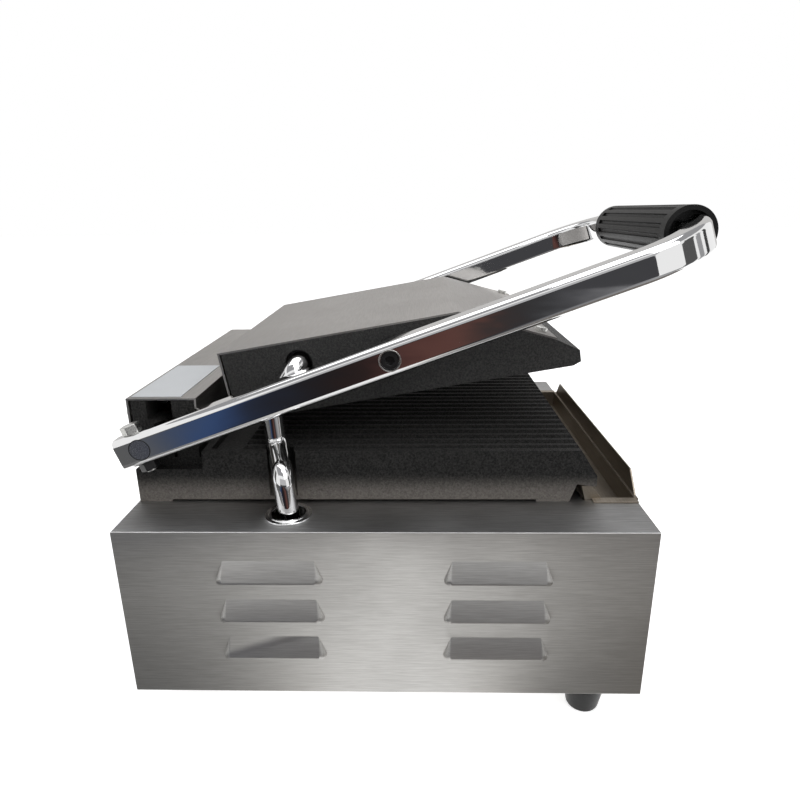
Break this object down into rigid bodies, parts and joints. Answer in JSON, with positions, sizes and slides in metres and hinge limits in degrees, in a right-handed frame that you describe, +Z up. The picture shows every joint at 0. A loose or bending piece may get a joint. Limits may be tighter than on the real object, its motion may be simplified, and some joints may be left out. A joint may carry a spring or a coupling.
{
  "type": "contact grill",
  "caption": "Countertop contact grill: ribbed cast plates on a louvred steel base, a U-bar handle lifting a floating upper plate, a leads tube, a drip tray and front controls.",
  "frame": {"origin": "centre of the bounding box footprint, on the plane the feet stand on, with the lid part open as in the picture", "axes": "+X to the right of a user at the grip, +Y away from the user towards the hinge, +Z up"},
  "size_m": [0.3138, 0.3724, 0.3039],
  "materials": {
    "stainless": "brushed stainless steel sheet",
    "zinc_steel": "zinc-plated steel",
    "galvanised": "galvanised sheet, unpainted",
    "cast_iron": "coarse black enamelled casting",
    "chrome": "mirror chrome plating",
    "black_plastic": "moulded black phenolic",
    "rubber": "moulded black rubber",
    "black_steel": "black oxide steel",
    "sheath": "oxidised element sheath",
    "mineral_wool": "pale mineral fibre mat",
    "ceramic": "glazed ceramic",
    "brass": "bare brass",
    "copper": "copper",
    "spring_steel": "oiled brown spring wire",
    "label": "blank matt foil",
    "tray": "dark satin steel",
    "green_lens": "tinted lens",
    "amber_lens": "tinted lens",
    "red_plastic": "glossy red plastic"
  },
  "bodies": {
    "base": {"base_housing": "stainless", "front_panel": "stainless", "rear_panel": "stainless", "bottom_plate": "galvanised", "rubber_feet": "rubber", "foot_screws": "zinc_steel", "panel_screws": "zinc_steel", "lower_plate": "cast_iron", "plate_bolts": "zinc_steel", "lower_element": "sheath", "lower_clamp_plate": "galvanised", "lower_insulation": "mineral_wool", "clamp_screws": "zinc_steel", "thermostat": "galvanised", "thermostat_bulb": "copper", "switch_body": "black_plastic", "power_lamp": "green_lens", "heat_lamp": "amber_lens", "terminal_block": "ceramic", "cable_gland": "black_plastic", "gland_nut": "black_plastic", "tube_collar": "chrome", "hinge_cover": "stainless", "hinge_cover_screws": "zinc_steel", "label_plate": "label", "torsion_springs": "spring_steel", "tray_runner": "galvanised"},
    "handle": {"handle_frame": "chrome", "grip": "black_plastic", "hinge_shaft": "zinc_steel", "shaft_bolts": "zinc_steel", "shaft_nuts": "black_steel", "spring_cups": "black_steel"},
    "platen": {"upper_plate": "cast_iron", "upper_cover": "stainless", "cover_screws": "zinc_steel", "pivot_screws": "black_steel", "pivot_spacers": "black_steel", "upper_element": "sheath", "upper_clamp_plate": "galvanised", "upper_insulation": "mineral_wool", "upper_clamp_screws": "zinc_steel", "upper_terminals": "ceramic", "tube_bush": "brass"},
    "conduit": {"conduit_tube": "chrome"},
    "tray": {"drip_tray": "tray"},
    "knob": {"thermostat_knob": "black_plastic", "thermostat_spindle": "zinc_steel"},
    "rocker": {"power_rocker": "red_plastic"}
  },
  "joints": [
    {"name": "lid_lift", "type": "hinge", "parent": "base", "child": "handle", "pos_m": [0, 0.1537, 0.1721], "axis": [-1, 0, 0], "range_deg": [-11.08, 40], "stiffness_Nm_per_rad": 3.2, "springref_deg": 148.97},
    {"name": "platen_tilt", "type": "hinge", "parent": "handle", "child": "platen", "pos_m": [0, 0.00795, 0.22423], "axis": [-1, 0, 0], "range_deg": [-6, 2]},
    {"name": "tube_swivel", "type": "hinge", "parent": "platen", "child": "conduit", "pos_m": [0, 0.06381, 0.21574], "axis": [-1, 0, 0], "range_deg": [-16, 5]},
    {"name": "tray_slide", "type": "slide", "parent": "base", "child": "tray", "axis": [0, -1, 0], "range_m": [0, 0.06]},
    {"name": "knob_turn", "type": "hinge", "parent": "base", "child": "knob", "pos_m": [0.062, -0.1398, 0.07], "axis": [0, 1, 0], "range_deg": [0, 300]},
    {"name": "switch_rock", "type": "hinge", "parent": "base", "child": "rocker", "pos_m": [-0.07, -0.1378, 0.07], "axis": [-1, 0, 0], "range_deg": [0, 20]}
  ],
  "couplings": [
    {"joint": "platen_tilt", "follows": "lid_lift", "ratio": -0.1371},
    {"joint": "tube_swivel", "follows": "lid_lift", "ratio": -0.3724}
  ]
}
